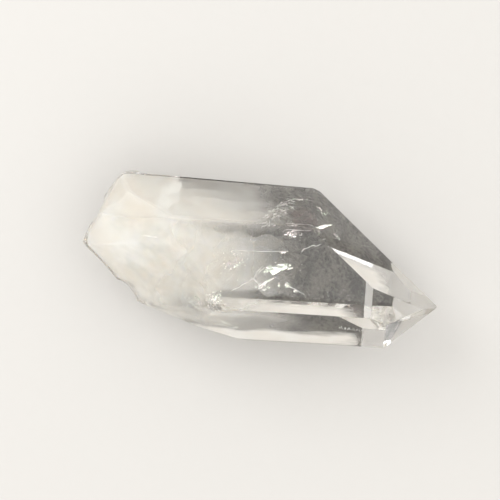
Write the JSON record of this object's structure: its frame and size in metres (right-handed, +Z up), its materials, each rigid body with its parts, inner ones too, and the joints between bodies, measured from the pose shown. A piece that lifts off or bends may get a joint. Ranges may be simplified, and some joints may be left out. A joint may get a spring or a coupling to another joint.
{
  "type": "herkimer diamond crystal",
  "caption": "Clear double-ended quartz crystal with long flat sides, one sharp end and one chipped milky end, lying on a side face.",
  "frame": {"origin": "middle of the bottom of the bounding box, on the plane that the crystal lies on", "axes": "+X along the crystal toward its sharp end, +Z up, away from the face that it lies on"},
  "size_m": [0.0422, 0.019, 0.0155],
  "materials": {
    "quartz": "glossy natural faces, colourless, milky toward the chipped end"
  },
  "bodies": {
    "root": {"crystal": "quartz"}
  },
  "joints": []
}
